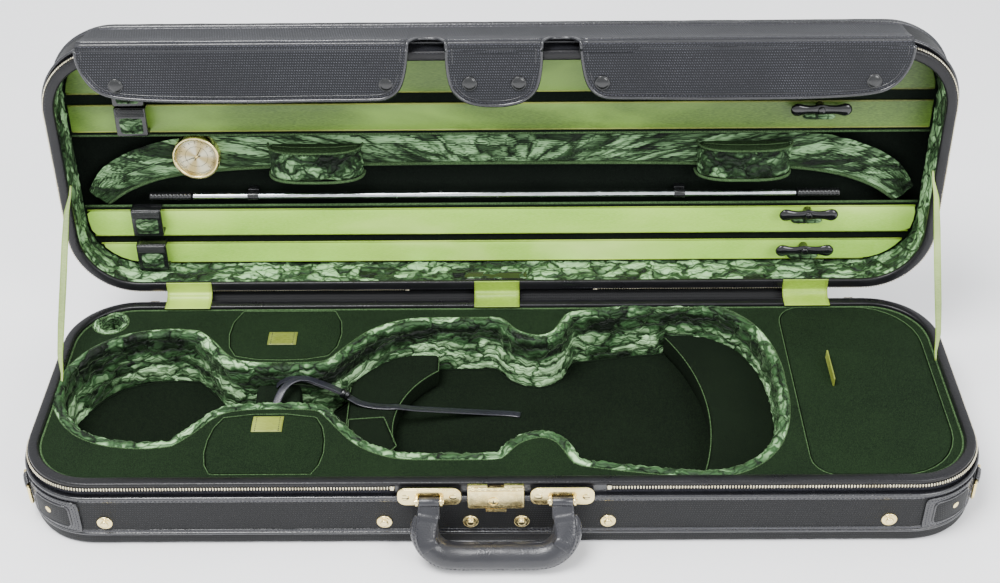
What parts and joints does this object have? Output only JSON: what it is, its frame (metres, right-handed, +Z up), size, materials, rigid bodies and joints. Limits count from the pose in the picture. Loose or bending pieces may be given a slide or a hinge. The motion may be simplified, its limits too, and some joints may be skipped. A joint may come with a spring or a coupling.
{
  "type": "violin case",
  "caption": "Oblong violin case with hinged lid held open by stays, velvet-lined violin well, lidded pockets, bow boards, carry handle and closing flap.",
  "frame": {"origin": "centre of the base bottom face, where the case rests", "axes": "+X along the case to the lower bout end, +Y to the hinge, +Z up"},
  "size_m": [0.8088, 0.3623, 0.327],
  "materials": {
    "leatherette": "satin, embossed diamond twill",
    "smooth_leather": "satin",
    "rim_trim": "satin",
    "gold": "polished",
    "velour": "matt pile",
    "crushed_velvet": "crushed pile with bright highlights",
    "satin": "satin",
    "hinge_ribbon": "satin",
    "stay_ribbon": "satin",
    "black_velour": "matt pile",
    "black_plastic": "semi-gloss",
    "black_ribbon": "satin",
    "dial": "satin",
    "glass": "clear",
    "tube": "clear gloss",
    "label": "gloss"
  },
  "bodies": {
    "base": {"base_shell": "leatherette", "base_lip": "rim_trim", "base_piping": "smooth_leather", "base_zip": "gold", "deck": "velour", "well_lining": "crushed_velvet", "well_floor": "velour", "neck_cradle": "velour", "bout_blocks": "velour", "pocket_liners": "velour", "round_well_cup": "crushed_velvet", "lock_plate": "gold", "handle_brackets": "gold", "brass_screws": "gold", "front_studs": "gold", "corner_patches": "smooth_leather", "zip_sliders": "gold", "neck_ribbon": "black_ribbon", "neck_ribbon_loop": "black_ribbon", "ribbon_toggle": "black_plastic", "hinge_leaves_base": "gold", "hinge_pins": "gold", "spine_cover": "leatherette", "hinge_ribbons": "hinge_ribbon", "lid_stays": "stay_ribbon"},
    "lid": {"lid_shell": "leatherette", "lid_lip": "rim_trim", "lid_piping": "smooth_leather", "lid_zip": "gold", "lid_border": "crushed_velvet", "lid_back_panel": "black_velour", "arch_band": "crushed_velvet", "bow_boards": "black_velour", "satin_strips": "satin", "bow_tip_clips": "black_plastic", "turner_pads": "crushed_velvet", "cushions": "crushed_velvet", "hygrometer_case": "gold", "hygrometer_dial": "dial", "hygrometer_glass": "glass", "string_tube": "tube", "tube_caps": "black_plastic", "label_plate": "label", "lock_catch": "gold", "flap_root": "leatherette", "hinge_leaves_lid": "gold"},
    "rear_pocket_lid": {"rear_pocket_lid": "velour"},
    "front_pocket_lid": {"front_pocket_lid": "velour"},
    "end_pocket_lid": {"end_pocket_lid": "velour"},
    "d_ring_left": {"d_ring_left": "gold"},
    "d_ring_right": {"d_ring_right": "gold"},
    "handle": {"handle": "smooth_leather"},
    "lock_button": {"lock_button": "gold"},
    "lock_cylinder": {"lock_cylinder": "gold"},
    "flap": {"flap": "leatherette", "flap_snaps": "black_plastic"},
    "turner_1": {"turner_1": "black_plastic"},
    "turner_2": {"turner_2": "black_plastic"},
    "turner_3": {"turner_3": "black_plastic"},
    "turner_4": {"turner_4": "black_plastic"}
  },
  "joints": [
    {"name": "lid_hinge", "type": "hinge", "parent": "base", "child": "lid", "pos_m": [0, 0.128, 0.065], "axis": [1, 0, 0], "range_deg": [0, 93], "deforming": ["lid_stays", "hinge_ribbons", "spine_cover"]},
    {"name": "flap_fold", "type": "hinge", "parent": "lid", "child": "flap", "pos_m": [0, 0.13567, 0.32596], "axis": [1, 0, 0], "range_deg": [-89, 0.5]},
    {"name": "handle_swing", "type": "hinge", "parent": "base", "child": "handle", "pos_m": [0, -0.1325, 0.054], "axis": [-1, 0, 0], "range_deg": [-12, 75]},
    {"name": "lock_slide", "type": "slide", "parent": "base", "child": "lock_button", "axis": [1, 0, 0], "range_m": [0, 0.004], "stiffness_N_per_m": 300, "springref_m": -0.001},
    {"name": "lock_turn", "type": "hinge", "parent": "base", "child": "lock_cylinder", "pos_m": [-0.006, -0.127, 0.05], "axis": [0, 1, 0], "range_deg": [0, 90]},
    {"name": "rear_lid_lift", "type": "hinge", "parent": "base", "child": "rear_pocket_lid", "pos_m": [-0.197, 0.109, 0.0618], "axis": [1, 0, 0], "range_deg": [-80, 0]},
    {"name": "front_lid_lift", "type": "hinge", "parent": "base", "child": "front_pocket_lid", "pos_m": [-0.1975, -0.1065, 0.0618], "axis": [-1, 0, 0], "range_deg": [-80, 0]},
    {"name": "end_lid_lift", "type": "hinge", "parent": "base", "child": "end_pocket_lid", "pos_m": [0.3785, 0, 0.0618], "axis": [0, -1, 0], "range_deg": [-80, 0]},
    {"name": "turner_spin_1", "type": "hinge", "parent": "lid", "child": "turner_1", "pos_m": [0.285, 0.16339, 0.24339], "axis": [0, 0.9986, -0.0523], "range_deg": [0, 60]},
    {"name": "turner_spin_2", "type": "hinge", "parent": "lid", "child": "turner_2", "pos_m": [0.285, 0.16516, 0.27735], "axis": [0, 0.9986, -0.0523], "range_deg": [0, 60]},
    {"name": "turner_spin_3", "type": "hinge", "parent": "lid", "child": "turner_3", "pos_m": [0.285, 0.15768, 0.13454], "axis": [0, 0.9986, -0.0523], "range_deg": [0, 60]},
    {"name": "turner_spin_4", "type": "hinge", "parent": "lid", "child": "turner_4", "pos_m": [0.285, 0.15564, 0.09559], "axis": [0, 0.9986, -0.0523], "range_deg": [0, 30]},
    {"name": "d_ring_left_swing", "type": "hinge", "parent": "base", "child": "d_ring_left", "pos_m": [-0.3985, -0.08622, 0.036], "axis": [-0.3584, 0.9336, 0], "range_deg": [0, 100]},
    {"name": "d_ring_right_swing", "type": "hinge", "parent": "base", "child": "d_ring_right", "pos_m": [0.3985, -0.08622, 0.036], "axis": [-0.3584, -0.9336, 0], "range_deg": [0, 100]}
  ],
  "couplings": [
    {"joint": "flap_fold", "follows": "lid_hinge", "ratio": -0.95161}
  ]
}
